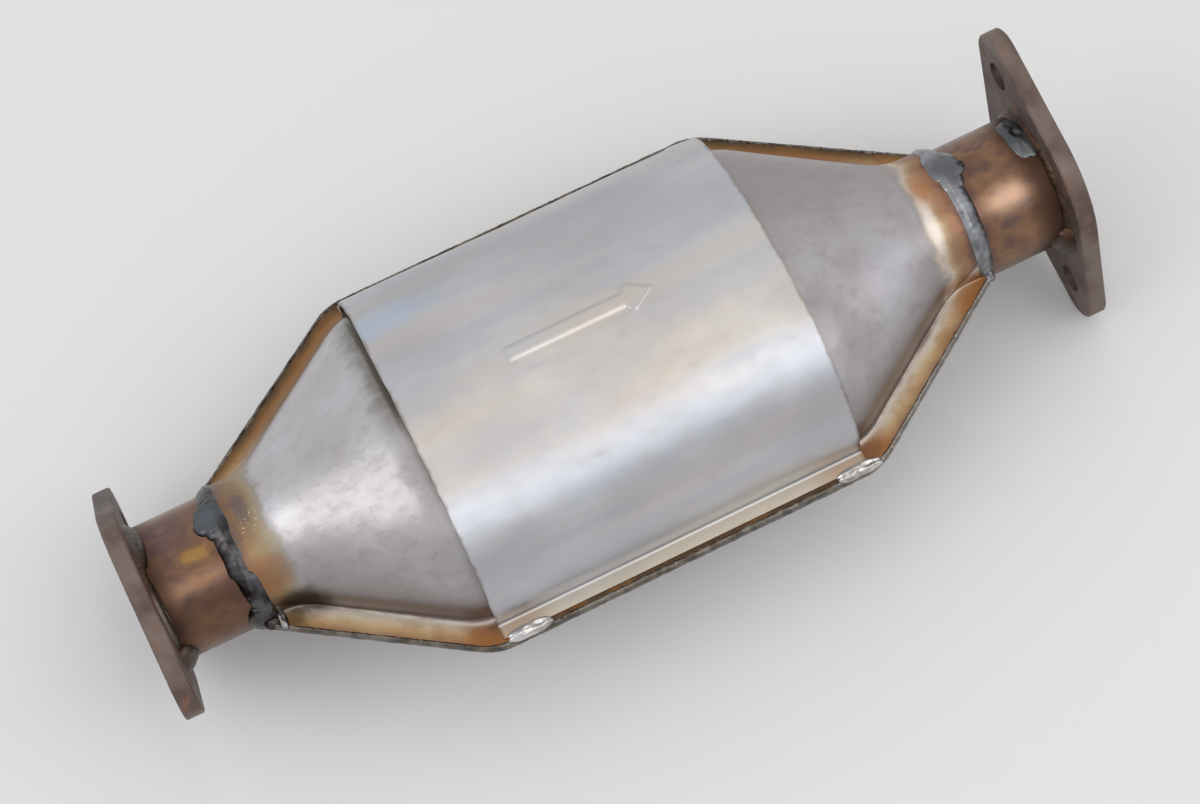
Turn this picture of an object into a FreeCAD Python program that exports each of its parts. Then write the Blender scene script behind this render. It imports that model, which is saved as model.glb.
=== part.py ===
import FreeCAD, Part

# Clamshell catalytic converter with a heat shield and two clocked two-bolt flanges.
# X runs with the gas, from the centre of the inlet gasket face (the origin) to the
# outlet.  Z is up, through the heat shield.  The two pressed shells meet at z = 0.
# Left (+Y) and right (-Y) are as seen when looking along the flow.  Millimetres.

import math
import os

from FreeCAD import Vector

os.makedirs("parts", exist_ok=True)

# ---------------------------------------------------------------- driving dimensions

# stub pipes
pipe_diameter = 50.8        # outside
pipe_wall = 2.0
pipe_insert = 11.0          # length of pipe inside each neck
inlet_stub = 31.4           # bare pipe between flange and neck
outlet_stub = 35.3
slip_fit = 0.3              # radial clearance of the pipe in the neck

# pressed shells
shell_sheet = 1.6
body_width = 128.4          # oval body, over the walls
body_height = 95.0
cone_length = 53.8
neck_length = 13.7
seam_bend = 2.6             # bend between wall and seam flange, outside radius
neck_bend = 0.8             # the same bend where it runs out along the neck
crease_reach = 7.0          # half length of the rounding between body, cone and neck
seam_flange = 11.6          # width of the seam flange beside the body
neck_flange = 2.4           # what is left of it at the end of the neck

# catalyst bricks and their packing
brick_length = 61.0
brick_gap = 11.0
brick_margin = 1.0          # from a brick to the rounding at the end of the body
mat_thickness = 4.6
packing_fit = 0.1           # clearance inside and outside the mat
seal_length = 6.0
cell_pitch = 8.0
cell_wall = 1.3
brick_skin = 1.6            # solid rim around the channels

# heat shield
shield_sheet = 0.9
shield_inset = 3.5          # shield edge behind the end of the straight body
shield_gap_side = 2.9       # air gap at the seam
shield_gap_top = 5.0        # air gap at the crown
shield_bend = 1.4
lip_setback = 2.3           # lip edge behind the edge of the seam flange

# flanges
flange_thickness = 7.0
flange_end_radius = 11.6
flange_end_spacing = 92.2   # between the centres of the two end radii
flange_hub_radius = 35.0
flange_edge_chamfer = 0.6
flange_fit = 0.2            # radial clearance of the pipe in the flange
bolt_spacing = 82.6
bolt_hole = 11.0
inlet_clock = -21.0         # turn of the long axis from +Y towards +Z, degrees
outlet_clock = 46.0

# welds
seam_weld_height = 1.2      # bead beyond the edge of the seam flange
neck_weld_leg = 4.8         # along the pipe
neck_weld_lap = 2.4         # over the neck
neck_weld_crown = 1.3       # above the neck
flange_weld_leg = 5.2
tack_length = 17.0
tack_width = 6.4
tack_height = 2.6
front_tack_inset = 13.5     # middle of the front tack behind the start of the straight body
rear_tack_inset = 7.5       # middle of the rear tack ahead of its end

# ---------------------------------------------------------------- derived sizes

pipe_radius = pipe_diameter / 2
pipe_bore = pipe_radius - pipe_wall
neck_bore = pipe_radius + slip_fit
neck_radius = neck_bore + shell_sheet
half_width = body_width / 2
half_height = body_height / 2
body_length = 2 * (brick_length + brick_margin + crease_reach) + brick_gap

neck_in = flange_thickness + inlet_stub           # open end of the inlet neck
cone_in = neck_in + neck_length
body_in = cone_in + cone_length
body_out = body_in + body_length
cone_out = body_out + cone_length
neck_out = cone_out + neck_length                 # open end of the outlet neck
outlet_face = neck_out + outlet_stub + flange_thickness

shield_half_width = half_width + shield_gap_side + shield_sheet
shield_rise = half_height + shield_gap_top + shield_sheet - shell_sheet
lip_edge = half_width + seam_flange - lip_setback

packing_half_width = half_width - shell_sheet - packing_fit
packing_half_height = half_height - shell_sheet - packing_fit
brick_half_width = packing_half_width - mat_thickness - packing_fit
brick_half_height = packing_half_height - mat_thickness - packing_fit

CREASE_SPANS = 3            # flats that round one crease


# ---------------------------------------------------------------- pressed sheet

def soften(stations, reach):
    """Round each inner crease of a list of stations with a parabola.

    A station is (x, half width, rise, flange edge, bend radius).
    """
    def between(a, b, share):
        return tuple(p + (q - p) * share for p, q in zip(a, b))

    rounded = [stations[0]]
    for before, crease, after in zip(stations, stations[1:], stations[2:]):
        start = between(crease, before, reach / (crease[0] - before[0]))
        end = between(crease, after, reach / (after[0] - crease[0]))
        for step in range(CREASE_SPANS + 1):
            t = step / CREASE_SPANS
            rounded.append(between(between(start, crease, t), between(crease, end, t), t))
    rounded.append(stations[-1])
    return rounded


def bend_edge(start, centre, radius, end):
    """Arc of one sheet bend, bulging away from the middle of its chord."""
    middle = (start + end) * 0.5 - centre
    middle.normalize()
    return Part.Arc(start, centre + middle * radius, end).toShape()


def half_oval(width, rise, base, angle):
    """Arc of an ellipse over the crown, from angle on the left to the same on the right."""
    centre, side, top = Vector(0, 0, base), Vector(0, width, 0), Vector(0, 0, rise)
    if width >= rise:
        curve, start = Part.Ellipse(centre + side, centre + top, centre), angle
    else:
        curve, start = Part.Ellipse(centre + top, centre - side, centre), angle - math.pi / 2
    return Part.ArcOfEllipse(curve, start, start + math.pi - 2 * angle).toShape()


def arch(width, rise, base, bend, level):
    """One face of a pressed sheet: a bend, half an ellipse and a bend.

    The ellipse has its centre at height base.  Each bend runs into it and touches the
    height level.  Returns the three edges from left to right and the foot on the left.
    """
    def point_and_centre(angle):
        y, z = math.cos(angle), math.sin(angle)
        normal = Vector(0, y / width, z / rise)
        normal.normalize()
        point = Vector(0, width * y, base + rise * z)
        return point, point + normal * bend

    low, high = 0.0, math.pi / 2
    for _ in range(60):
        middle = (low + high) / 2
        if point_and_centre(middle)[1].z < level + bend:
            low = middle
        else:
            high = middle
    point, centre = point_and_centre(low)
    foot = Vector(0, centre.y, level)
    left = bend_edge(foot, centre, bend, point)
    right = left.mirror(Vector(0, 0, 0), Vector(0, 1, 0))
    return [left, half_oval(width, rise, base, low), right], foot


def hat_section(station, base, sheet):
    """Closed outline of the pressed sheet at one station: flange, arch, flange."""
    x, width, rise, edge, bend = station
    outer, foot = arch(width, rise, base, bend, base + sheet)
    inner, inner_foot = arch(width - sheet, rise - sheet, base, bend + sheet, base)
    left = [
        Part.makeLine(inner_foot, Vector(0, edge, base)),
        Part.makeLine(Vector(0, edge, base), Vector(0, edge, base + sheet)),
        Part.makeLine(Vector(0, edge, base + sheet), foot),
    ]
    right = [piece.mirror(Vector(0, 0, 0), Vector(0, 1, 0)) for piece in reversed(left)]
    wire = Part.Wire(left + outer + right + inner[::-1])
    wire.translate(Vector(x, 0, 0))
    return wire


def pressed_sheet(stations, base, sheet):
    return Part.makeLoft([hat_section(s, base, sheet) for s in stations], True, True)


def shell_stations():
    neck_edge = neck_radius + neck_flange
    body_edge = half_width + seam_flange
    share = neck_length / (neck_length + cone_length)      # the seam edge runs straight
    cone_edge = neck_edge + (body_edge - neck_edge) * share
    neck = (neck_radius, neck_radius)
    body = (half_width, half_height, body_edge, seam_bend)
    return soften([
        (neck_in, *neck, neck_edge, neck_bend),
        (cone_in, *neck, cone_edge, neck_bend),
        (body_in, *body),
        (body_out, *body),
        (cone_out, *neck, cone_edge, neck_bend),
        (neck_out, *neck, neck_edge, neck_bend),
    ], min(crease_reach, neck_length / 2.1))


def heat_shield():
    """Thin cover over the straight body, standing on the seam flanges on two lips."""
    station = (body_in + shield_inset, shield_half_width, shield_rise, lip_edge, shield_bend)
    outline = hat_section(station, shell_sheet, shield_sheet)
    return Part.Face(outline).extrude(Vector(body_length - 2 * shield_inset, 0, 0))


# ---------------------------------------------------------------- pipes and flanges

def tube(start, end, outer, inner):
    outside = Part.makeCylinder(outer, end - start, Vector(start, 0, 0), Vector(1, 0, 0))
    inside = Part.makeCylinder(inner, end - start, Vector(start, 0, 0), Vector(1, 0, 0))
    return outside.cut(inside)


def flange_outline():
    """Hub circle and two end circles joined by their common tangents, in the YZ plane."""
    half = flange_end_spacing / 2
    lean = math.acos((flange_hub_radius - flange_end_radius) / half)
    end_point = Vector(0, half + flange_end_radius * math.cos(lean),
                       flange_end_radius * math.sin(lean))
    hub_point = Vector(0, flange_hub_radius * math.cos(lean),
                       flange_hub_radius * math.sin(lean))

    def flip(point, y, z):
        return Vector(0, point.y * y, point.z * z)

    tip = Vector(0, half + flange_end_radius, 0)
    crown = Vector(0, 0, flange_hub_radius)
    return Part.Wire([
        Part.Arc(flip(end_point, 1, -1), tip, end_point).toShape(),
        Part.makeLine(end_point, hub_point),
        Part.Arc(hub_point, crown, flip(hub_point, -1, 1)).toShape(),
        Part.makeLine(flip(hub_point, -1, 1), flip(end_point, -1, 1)),
        Part.Arc(flip(end_point, -1, 1), tip * -1, flip(end_point, -1, -1)).toShape(),
        Part.makeLine(flip(end_point, -1, -1), flip(hub_point, -1, -1)),
        Part.Arc(flip(hub_point, -1, -1), crown * -1, flip(hub_point, 1, -1)).toShape(),
        Part.makeLine(flip(hub_point, 1, -1), flip(end_point, 1, -1)),
    ])


def flange(start, clock):
    """Two-bolt plate whose first face is at x = start, turned by clock about the pipe."""
    plate = Part.Face(flange_outline()).extrude(Vector(flange_thickness, 0, 0))
    rim = [edge for edge in plate.Edges if edge.BoundBox.XLength < 1e-6]
    plate = plate.makeChamfer(flange_edge_chamfer, rim)
    holes = [(0, pipe_radius + flange_fit)]
    holes += [(side * bolt_spacing / 2, bolt_hole / 2) for side in (-1, 1)]
    for offset, radius in holes:
        drill = Part.makeCylinder(radius, flange_thickness, Vector(0, offset, 0),
                                  Vector(1, 0, 0))
        plate = plate.cut(drill)
    plate.rotate(Vector(0, 0, 0), Vector(1, 0, 0), clock)
    plate.translate(Vector(start, 0, 0))
    return plate


# ---------------------------------------------------------------- welds

def ring(edges):
    """Solid of revolution about the pipe axis from edges drawn in the XZ half plane."""
    return Part.Face(Part.Wire(edges)).revolve(Vector(0, 0, 0), Vector(1, 0, 0), 360)


def neck_weld(end, towards_body):
    """Bead from the end of a neck down to the pipe; towards_body is 1 or -1 along X."""
    toe = Vector(end - towards_body * neck_weld_leg, 0, pipe_radius)
    root = Vector(end, 0, pipe_radius)
    brim = Vector(end, 0, neck_radius)
    lap = Vector(end + towards_body * neck_weld_lap, 0, neck_radius)
    crown = Vector(end - towards_body * neck_weld_lap / 2, 0, neck_radius + neck_weld_crown)
    return ring([
        Part.makeLine(toe, root),
        Part.makeLine(root, brim),
        Part.makeLine(brim, lap),
        Part.Arc(lap, crown, toe).toShape(),
    ])


def flange_weld(face, towards_body):
    """Slightly hollow fillet in the corner between a flange and its pipe."""
    corner = Vector(face, 0, pipe_radius)
    on_flange = Vector(face, 0, pipe_radius + flange_weld_leg)
    on_pipe = Vector(face + towards_body * flange_weld_leg, 0, pipe_radius)
    throat = Vector(face + towards_body * flange_weld_leg * 0.42, 0,
                    pipe_radius + flange_weld_leg * 0.42)
    return ring([
        Part.makeLine(corner, on_flange),
        Part.Arc(on_flange, throat, on_pipe).toShape(),
        Part.makeLine(on_pipe, corner),
    ])


def seam_weld(stations, side):
    """Bead along the edges of both seam flanges, on side 1 (left) or -1 (right)."""
    sections = []
    for x, _, _, edge, _ in stations:
        top = Vector(x, side * edge, shell_sheet)
        crown = Vector(x, side * (edge + seam_weld_height), 0)
        bottom = Vector(x, side * edge, -shell_sheet)
        arc = Part.Arc(top, crown, bottom).toShape()
        sections.append(Part.Wire([arc, Part.makeLine(bottom, top)]))
    return Part.makeLoft(sections, True, True)


def tack_weld(x, side, shield):
    """Lump that ties a corner of the shield's lip to the seam flange."""
    lump = Part.makeSphere(1.0)
    size = FreeCAD.Matrix()
    size.scale(tack_length / 2, tack_width / 2, tack_height)
    lump = lump.transformGeometry(size)
    lump.translate(Vector(x, side * lip_edge, shell_sheet))
    above = Part.makeBox(2 * tack_length, 2 * tack_width, 2 * tack_height,
                         Vector(x - tack_length, side * lip_edge - tack_width, shell_sheet))
    return lump.common(above).cut(shield)


# ---------------------------------------------------------------- catalyst bricks

def oval(width, height, x):
    """Ellipse with half axes width along Y and height along Z, in the plane at x."""
    if width >= height:
        curve = Part.Ellipse(Vector(x, width, 0), Vector(x, 0, height), Vector(x, 0, 0))
    else:
        curve = Part.Ellipse(Vector(x, 0, height), Vector(x, width, 0), Vector(x, 0, 0))
    return Part.Wire([curve.toShape()])


def oval_tube(start, length, outer, inner):
    faces = [Part.Face(oval(*half_axes, start)) for half_axes in (outer, inner)]
    return faces[0].cut(faces[1]).extrude(Vector(length, 0, 0))


def brick(start):
    """Ceramic honeycomb: square channels through an oval block."""
    room = cell_pitch - cell_wall
    rows = math.ceil(brick_half_height / cell_pitch)
    columns = math.ceil(brick_half_width / cell_pitch)
    wide, high = brick_half_width - brick_skin, brick_half_height - brick_skin
    channels = []
    for row in range(-rows, rows + 1):
        for column in range(-columns, columns + 1):
            y, z = column * cell_pitch, row * cell_pitch
            far_y, far_z = abs(y) + room / 2, abs(z) + room / 2
            if (far_y / wide) ** 2 + (far_z / high) ** 2 < 1:
                corner = Vector(start, y - room / 2, z - room / 2)
                across, up = Vector(0, room, 0), Vector(0, 0, room)
                channels.append(Part.makePolygon(
                    [corner, corner + across, corner + across + up, corner + up, corner]))
    block = Part.Face(oval(brick_half_width, brick_half_height, start))
    block = block.cut(Part.makeCompound([Part.Face(outline) for outline in channels]))
    return block.extrude(Vector(brick_length, 0, 0))


def packing(start):
    """Mat around one brick and the mesh seal at each end of it."""
    outer = (packing_half_width, packing_half_height)
    inner = (brick_half_width + packing_fit, brick_half_height + packing_fit)
    mat_start = start + seal_length
    mat_end = start + brick_length - seal_length
    return {
        "entry_seal": oval_tube(start, seal_length, outer, inner),
        "mat": oval_tube(mat_start, mat_end - mat_start, outer, inner),
        "exit_seal": oval_tube(mat_end, seal_length, outer, inner),
    }


# ---------------------------------------------------------------- assembly

def build():
    nodes = {}
    stations = shell_stations()
    nodes["upper_shell"] = pressed_sheet(stations, 0, shell_sheet)
    nodes["lower_shell"] = nodes["upper_shell"].mirror(Vector(0, 0, 0), Vector(0, 0, 1))
    shells = [nodes["upper_shell"], nodes["lower_shell"]]
    nodes["heat_shield"] = heat_shield()

    nodes["inlet_pipe"] = tube(0, neck_in + pipe_insert, pipe_radius, pipe_bore)
    nodes["outlet_pipe"] = tube(neck_out - pipe_insert, outlet_face, pipe_radius, pipe_bore)
    nodes["inlet_flange"] = flange(0, inlet_clock)
    nodes["outlet_flange"] = flange(outlet_face - flange_thickness, outlet_clock)

    nodes["inlet_neck_weld"] = neck_weld(neck_in, 1).cut(shells)
    nodes["outlet_neck_weld"] = neck_weld(neck_out, -1).cut(shells)
    nodes["inlet_flange_weld"] = flange_weld(flange_thickness, 1)
    nodes["outlet_flange_weld"] = flange_weld(outlet_face - flange_thickness, -1)
    for name, side in (("left", 1), ("right", -1)):
        nodes[f"{name}_seam_weld"] = seam_weld(stations, side)
        for end, x in (("front", body_in + front_tack_inset),
                       ("rear", body_out - rear_tack_inset)):
            nodes[f"{end}_{name}_tack_weld"] = tack_weld(x, side, nodes["heat_shield"])

    front = body_in + crease_reach + brick_margin
    rear = front + brick_length + brick_gap
    for name, start in (("front", front), ("rear", rear)):
        nodes[f"{name}_brick"] = brick(start)
        for piece, shape in packing(start).items():
            nodes[f"{name}_{piece}"] = shape
    return nodes


for node_name, node_shape in build().items():
    solids = node_shape.Solids
    node_solid = solids[0] if len(solids) == 1 else node_shape
    node_solid.exportStep(f"parts/{node_name}.step")
    box = node_solid.BoundBox
    print(f"{node_name}: {len(solids)} solid, valid {node_solid.isValid()}, "
          f"{node_solid.Volume / 1000:.2f} cm3, x {box.XMin:.1f}..{box.XMax:.1f}, "
          f"y {box.YMin:.1f}..{box.YMax:.1f}, z {box.ZMin:.1f}..{box.ZMax:.1f}")
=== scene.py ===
# %% [markdown]
# A catalytic converter from the underside of a car.  Two pressed half shells are welded
# along a flat seam, a thin heat shield covers the upper one, and a stub pipe with a
# two-bolt flange leaves each end.  The solids are already built; this notebook gives each
# piece the surface that heat, welding and handling give the real one.
#
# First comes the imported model, which is the fixed frame that everything else is set on.

import math

import bpy
import numpy as np
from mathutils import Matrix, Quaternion, Vector, noise


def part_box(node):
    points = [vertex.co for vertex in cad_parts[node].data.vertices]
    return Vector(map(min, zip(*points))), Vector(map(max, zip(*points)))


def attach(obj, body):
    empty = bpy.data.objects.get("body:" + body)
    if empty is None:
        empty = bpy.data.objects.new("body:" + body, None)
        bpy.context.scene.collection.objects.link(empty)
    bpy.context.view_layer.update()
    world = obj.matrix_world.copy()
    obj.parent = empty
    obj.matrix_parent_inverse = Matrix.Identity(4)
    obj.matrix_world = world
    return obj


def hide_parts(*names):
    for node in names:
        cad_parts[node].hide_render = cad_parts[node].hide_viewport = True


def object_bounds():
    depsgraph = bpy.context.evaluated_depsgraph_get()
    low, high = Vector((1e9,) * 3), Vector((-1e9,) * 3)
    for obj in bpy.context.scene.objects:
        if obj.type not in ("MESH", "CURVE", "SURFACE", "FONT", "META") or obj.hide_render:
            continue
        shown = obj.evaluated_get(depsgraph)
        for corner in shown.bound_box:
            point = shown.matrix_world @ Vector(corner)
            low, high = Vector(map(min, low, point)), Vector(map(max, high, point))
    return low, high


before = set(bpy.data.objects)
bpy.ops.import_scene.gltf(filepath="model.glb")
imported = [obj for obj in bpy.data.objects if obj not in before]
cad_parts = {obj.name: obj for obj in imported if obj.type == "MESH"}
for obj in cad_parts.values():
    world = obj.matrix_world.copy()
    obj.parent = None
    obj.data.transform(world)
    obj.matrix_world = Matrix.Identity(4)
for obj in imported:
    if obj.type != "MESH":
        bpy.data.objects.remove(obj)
cad_low, cad_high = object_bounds()
MM = 0.001
print("CAD box in mm:", [round(v / MM, 1) for v in (*cad_low, *cad_high)])

# %% [markdown]
# Sizes.  Lengths are in millimetres, in the frame of the solids: X runs with the gas from
# the inlet flange, Z is up through the heat shield, and the two shells meet at z = 0.
# Whatever a box of a solid can tell is read from it, so that a new pack carries through,
# and the rest are the sheet sizes that the press tool has.

# %% Sizes
def span(node, axis):
    """Lowest and highest place of a solid along an axis, in millimetres."""
    low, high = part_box(node)
    return low[axis] / MM, high[axis] / MM


X, Y, Z = range(3)
NECK_IN, NECK_OUT = span("upper_shell", X)
SEAM_EDGE = span("upper_shell", Y)[1]
BODY_RISE = span("upper_shell", Z)[1]
SHIELD_FRONT, SHIELD_REAR = span("heat_shield", X)
LIP_EDGE = span("heat_shield", Y)[1]
SHIELD_TOP = span("heat_shield", Z)[1]
PIPE_RADIUS = span("inlet_pipe", Z)[1]
INLET_PLATE = span("inlet_flange", X)[1]
OUTLET_PLATE = span("outlet_flange", X)[0]
SEAM_REACH = span("left_seam_weld", Y)[1]

SHEET = 1.6                 # thickness of a shell
NECK_RADIUS = 27.3
NECK_EDGE = 29.7            # edge of the seam flange at the end of the neck
NECK_LENGTH = 13.7
CONE_LENGTH = 53.8
BODY_HALF_WIDTH = 64.2
SEAM_BEND = 2.6
NECK_BEND = 0.8
CREASE_REACH = 6.5          # half length of the rounding between body, cone and neck
SHIELD_SHEET = 0.9          # thickness of the shield
SHIELD_HALF_WIDTH = 68.0
SHIELD_BEND = 1.1
MIDDLE = (NECK_IN + NECK_OUT) / 2
print(f"necks at {NECK_IN:.1f} and {NECK_OUT:.1f}, seam edge {SEAM_EDGE:.1f}, "
      f"shield top {SHIELD_TOP:.1f}")

# %% [markdown]
# Mesh tools.  A pressed sheet is a grid of points, one face of the sheet at a time, so it
# could be a subdivided plane bent by modifiers.  It is made from numbers instead, because
# the arrow, the waves in the metal and the ragged edges all have to be placed on it.  The
# same tool makes a weld bead: its grid closes on itself.

# %% Mesh tools
def add_piece(name, points, faces, stands_for=(), slot=None, measures=None):
    """A smooth mesh object on the body of the part; measures are numbers kept at its points."""
    mesh = bpy.data.meshes.new(name)
    mesh.from_pydata((np.asarray(points) * MM).tolist(), [], faces)
    mesh.validate()
    mesh.shade_smooth()
    mesh.set_sharp_from_angle(angle=math.radians(40))
    for label, values in (measures or {}).items():
        layer = mesh.attributes.new(label, "FLOAT", "POINT")
        layer.data.foreach_set("value", np.asarray(values, np.float32).ravel())
    piece = bpy.data.objects.new(name, mesh)
    bpy.context.scene.collection.objects.link(piece)
    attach(piece, "root")
    if stands_for:
        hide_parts(*stands_for)
    print(f"{name}: {len(mesh.polygons)} faces")
    return piece


def grid_faces(rows, columns, start=0, flip=False, wrap_rows=False, wrap_columns=False):
    """Four-sided faces of a grid of points, wrapped round on itself where asked."""
    faces = []
    for i in range(rows if wrap_rows else rows - 1):
        for j in range(columns if wrap_columns else columns - 1):
            a = start + i * columns + j
            b = start + i * columns + (j + 1) % columns
            c = start + (i + 1) % rows * columns + (j + 1) % columns
            d = start + (i + 1) % rows * columns + j
            faces.append((a, d, c, b) if flip else (a, b, c, d))
    return faces


def rim_faces(ring, other, flip=False):
    """Faces that join two lines of points."""
    pairs = zip(ring, ring[1:], other[1:], other)
    return [(a, d, c, b) if flip else (a, b, c, d) for a, b, c, d in pairs]


def swell(points, size, seed=0.0):
    """Soft random heights from about -1 to 1, whose bumps are size millimetres across."""
    flat = np.asarray(points).reshape(-1, 3) / size + seed
    heights = [noise.noise(Vector(p)) for p in flat.tolist()]
    return np.array(heights).reshape(np.asarray(points).shape[:-1]) * 1.6


# %% [markdown]
# The section of a pressed shell is a hat: a flat seam flange, a bend, half an oval, and the
# same again on the other side.  Each line is worked out from the flange's edge to the
# crown, with the bend rolled into the oval where the two touch.

# %% The hat section
FLANGE_STEPS, BEND_STEPS, ARCH_STEPS = 9, 8, 62


def oval_touch(width, rise, bend, base, level, fullness):
    """Where a bend of that radius touches both the oval and the flange.

    It gives the angle on the oval, the oval's normal there and the centre of the bend.
    """
    low, high = 0.0, math.pi / 2
    for _ in range(50):
        angle = (low + high) / 2
        across, up = math.cos(angle), math.sin(angle)
        lean = 2 - 2 / fullness
        normal = Vector((across ** lean / width, up ** lean / rise)).normalized()
        point = Vector((width * across ** (2 / fullness), base + rise * up ** (2 / fullness)))
        if point.y + normal.y * bend < level + bend:
            low = angle
        else:
            high = angle
    return angle, normal, point + normal * bend


def hat_line(width, rise, edge, bend, base, level, shares=None, fullness=2.0):
    """Points (y, z) from the left edge over the crown to the right edge.

    A fullness of 2 makes the oval an ellipse, and more makes its shoulders squarer.
    """
    angle, normal, centre = oval_touch(width, rise, bend, base, level, fullness)
    shares = np.linspace(0, 1, ARCH_STEPS) if shares is None else shares
    flange = np.linspace(edge, centre.x, FLANGE_STEPS, endpoint=False)
    turns = np.linspace(-math.pi / 2, math.atan2(-normal.y, -normal.x), BEND_STEPS,
                        endpoint=False)
    sweep = angle + (math.pi / 2 - angle) * shares
    across = np.abs(np.cos(sweep)) ** (2 / fullness)
    up = np.sin(sweep) ** (2 / fullness)
    y = np.concatenate([flange, centre.x + bend * np.cos(turns), width * across])
    z = np.concatenate([np.full(FLANGE_STEPS, level), centre.y + bend * np.sin(turns),
                        base + rise * up])
    return np.column_stack([np.concatenate([y, -y[-2::-1]]),
                            np.concatenate([z, z[-2::-1]])])


def rise_outwards(face):
    """Unit normals of a grid of points, turned away from the middle of the part."""
    along = np.gradient(face, axis=0)
    across = np.gradient(face, axis=1)
    normal = np.cross(along, across)
    normal /= np.maximum(np.linalg.norm(normal, axis=2, keepdims=True), 1e-9)
    return normal * np.where(normal[..., 2:].sum() < 0, -1.0, 1.0)


def sheet_piece(name, outer, inner, **facts):
    """A sheet between two grids of points, closed along its edges and its ends."""
    rows, columns = outer.shape[:2]
    count = rows * columns
    points = np.concatenate([outer.reshape(-1, 3), inner.reshape(-1, 3)])
    faces = grid_faces(rows, columns) + grid_faces(rows, columns, count, flip=True)
    first = list(range(columns))
    last = [count - columns + j for j in range(columns)]
    left = [i * columns for i in range(rows)]
    right = [i * columns + columns - 1 for i in range(rows)]
    for line, flip in ((first, True), (last, False), (left, False), (right, True)):
        faces += rim_faces(line, [k + count for k in line], flip)
    return add_piece(name, points, faces, **facts)


def distance_over(face):
    """How far each point of a grid is from the nearer long edge, along the section."""
    steps = np.linalg.norm(np.diff(face, axis=1), axis=2)
    run = np.concatenate([np.zeros((len(face), 1)), np.cumsum(steps, axis=1)], axis=1)
    return np.minimum(run, run[:, -1:] - run)


def hollows(face, broad, fine, sink, flat, ease):
    """Shallow waves in a sheet, never above 0, and none within flat of its long edges.

    Past there they grow to their full depth over the distance ease, all in millimetres.
    broad and fine are two noises as (depth, size, seed), and sink lowers them both.
    """
    depth = sum(deep * swell(face, size, seed) for deep, size, seed in (broad, fine))
    wall = np.clip((distance_over(face) - flat) / ease, 0, 1)
    return np.minimum(depth - sink, 0) * wall


body_section = hat_line(BODY_HALF_WIDTH, BODY_RISE, SEAM_EDGE, SEAM_BEND, 0.0, SHEET)
print("points on one section:", len(body_section))

# %% [markdown]
# The shells.  On the real part each half is one piece of stainless sheet, pressed so that
# the round neck runs into a cone and the cone into the oval body.  The creases between them
# are soft, and welding pulls the thin sheet into shallow waves.  The stations here are the
# press tool's, each crease is rounded by a short curve, and the waves go inwards only, so
# that nothing grows past the solids.

# %% The press tool's stations
CREASE_STEPS = 11


def shell_stations():
    """Rows of (x, half width, rise, flange edge, bend) down the length of a shell."""
    share = NECK_LENGTH / (NECK_LENGTH + CONE_LENGTH)
    cone_edge = NECK_EDGE + (SEAM_EDGE - NECK_EDGE) * share
    end = (NECK_RADIUS, NECK_RADIUS, NECK_EDGE, NECK_BEND)
    cone = (NECK_RADIUS, NECK_RADIUS, cone_edge, NECK_BEND)
    body = (BODY_HALF_WIDTH, BODY_RISE, SEAM_EDGE, SEAM_BEND)
    run = [(NECK_IN, *end), (NECK_IN + NECK_LENGTH, *cone),
           (NECK_IN + NECK_LENGTH + CONE_LENGTH, *body)]
    run += [(2 * MIDDLE - row[0], *row[1:]) for row in reversed(run)]
    run = np.array(run)
    rounded = [run[0]]
    for before, crease, after in zip(run, run[1:], run[2:]):
        start = crease + (before - crease) * CREASE_REACH / (crease[0] - before[0])
        stop = crease + (after - crease) * CREASE_REACH / (after[0] - crease[0])
        for t in np.linspace(0, 1, CREASE_STEPS):
            rounded.append((1 - t) ** 2 * start + 2 * t * (1 - t) * crease + t ** 2 * stop)
    rounded.append(run[-1])
    return np.array(rounded)


STATIONS = shell_stations()
print("stations along a shell:", len(STATIONS))


def at_station(x):
    """The station's sizes at any x."""
    return [float(np.interp(x, STATIONS[:, 0], STATIONS[:, k])) for k in range(1, 5)]


# %% [markdown]
# A shell could be lofted through the stations with curves.  Here a section is drawn at every
# small step along X instead, because the points then lie in a plain grid, and the distance
# from the seam's edge can be measured over it.  The heat colours need that distance later.

# %% The shells
SHELL_STEP = 1.6            # between sections along X


def shell_face(places, inset, level):
    """Grid of points on the outer (inset 0) or inner face of the upper shell."""
    rows = []
    for x in places:
        width, rise, edge, bend = at_station(x)
        line = hat_line(width - inset, rise - inset, edge, bend + inset, 0.0, level)
        rows.append(np.column_stack([np.full(len(line), x), line]))
    return np.array(rows)


def build_shell(name, side, seed):
    """The upper shell (side 1) or its mirror image below the seam (side -1)."""
    places = np.linspace(NECK_IN, NECK_OUT, round((NECK_OUT - NECK_IN) / SHELL_STEP) + 1)
    outer, inner = shell_face(places, 0.0, SHEET), shell_face(places, SHEET, 0.0)
    edge_run = distance_over(outer)
    waves = hollows(outer, (0.20, 34, seed), (0.09, 15, seed + 7), sink=0.12, flat=12, ease=14)
    push = rise_outwards(outer) * waves[..., None]
    outer, inner = outer + push, inner + push
    for face in (outer, inner):
        face[..., Z] *= side
    if side < 0:
        outer, inner = outer[:, ::-1], inner[:, ::-1]
        edge_run = edge_run[:, ::-1]
    return sheet_piece(name + "_sheet", outer, inner, stands_for=[name], slot="shell",
                       measures={"from_edge": np.stack([edge_run, edge_run])})


upper_shell = build_shell("upper_shell", 1, 3.1)
lower_shell = build_shell("lower_shell", -1, 8.4)

# %% [markdown]
# The heat shield is a thinner sheet that stands on the seam flanges on two narrow lips.  An
# arrow is pressed up from below to show which way the gas flows.  The press leaves it with
# a flat top and sloping sides, so its height is read from the distance to its outline.  The
# sheet's own crown is lowered by the height of the arrow, which keeps it inside the solid.

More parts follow.
